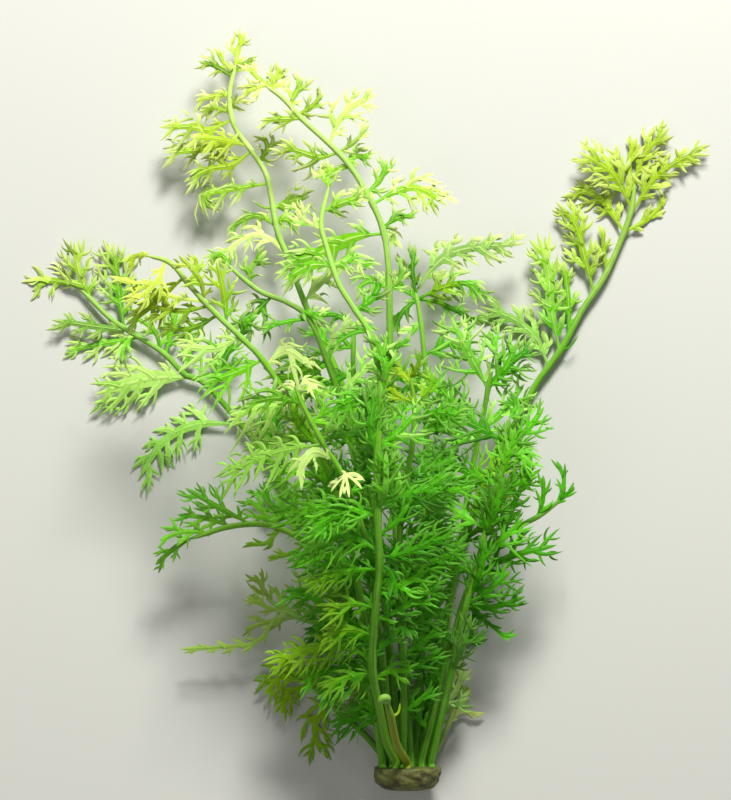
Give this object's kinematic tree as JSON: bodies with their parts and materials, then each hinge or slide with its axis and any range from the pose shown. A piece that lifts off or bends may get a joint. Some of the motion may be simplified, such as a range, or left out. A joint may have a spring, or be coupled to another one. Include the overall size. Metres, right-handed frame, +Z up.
{
  "type": "water sprite plant",
  "caption": "Picked water sprite lying on its back: fleshy tapered fronds fan from one crown and carry finely cut, alternate green leaves.",
  "frame": {"origin": "under the middle of the plant's bounding box, on the surface that it lies on", "axes": "+Y from the crown to the frond tips, +X to the right seen from above, +Z up from the surface"},
  "size_m": [0.242, 0.2692, 0.08],
  "materials": {
    "stalk": "smooth satin",
    "leaf": "smooth satin",
    "rootstock": "rough"
  },
  "bodies": {
    "root": {"centre": "stalk", "centre_right_2": "leaf", "centre_right_3": "leaf", "crossing": "stalk", "crossing_left_1": "leaf", "crossing_left_3": "leaf", "crossing_starfish": "leaf", "crown": "rootstock", "fiddlehead": "stalk", "front_middle": "stalk", "front_middle_left_4": "leaf", "front_middle_left_5": "leaf", "inner_left": "stalk", "inner_left_down_1": "leaf", "inner_left_left_1": "leaf", "long_left": "stalk", "long_left_side_3": "leaf", "long_left_side_4": "leaf", "long_left_side_5": "leaf", "low_frond": "stalk", "low_frond_up_2": "leaf", "low_left": "stalk", "lower_left": "stalk", "lower_left_up_2": "leaf", "lower_left_up_4": "leaf", "lower_left_up_5": "leaf", "middle_left": "stalk", "middle_left_left_2": "leaf", "pale_right": "stalk", "right_back": "stalk", "right_back_left_1": "leaf", "right_back_left_2": "leaf", "right_back_right_2": "leaf", "right_back_right_3": "leaf", "right_centre": "stalk", "right_centre_right_1": "leaf", "right_front": "stalk", "right_front_left_1": "leaf", "right_front_left_3": "leaf", "right_low": "stalk", "right_low_side_1": "leaf", "right_tall": "stalk", "right_tall_comb": "leaf", "right_tall_inner_1": "leaf", "right_tall_inner_3": "leaf", "right_tall_outer_1": "leaf", "right_tall_top_left": "leaf", "tall_arch": "stalk", "tall_arch_left_2": "leaf", "tall_arch_left_3": "leaf", "tall_arch_right_2": "leaf", "tall_arch_right_3": "leaf", "tall_left": "stalk", "tall_left_side_1": "leaf", "tall_left_side_3": "leaf", "tall_left_side_5": "leaf", "tall_left_side_6": "leaf", "yellow_left": "stalk", "yellow_left_left_2": "leaf", "yellow_left_left_3": "leaf"}
  },
  "joints": []
}
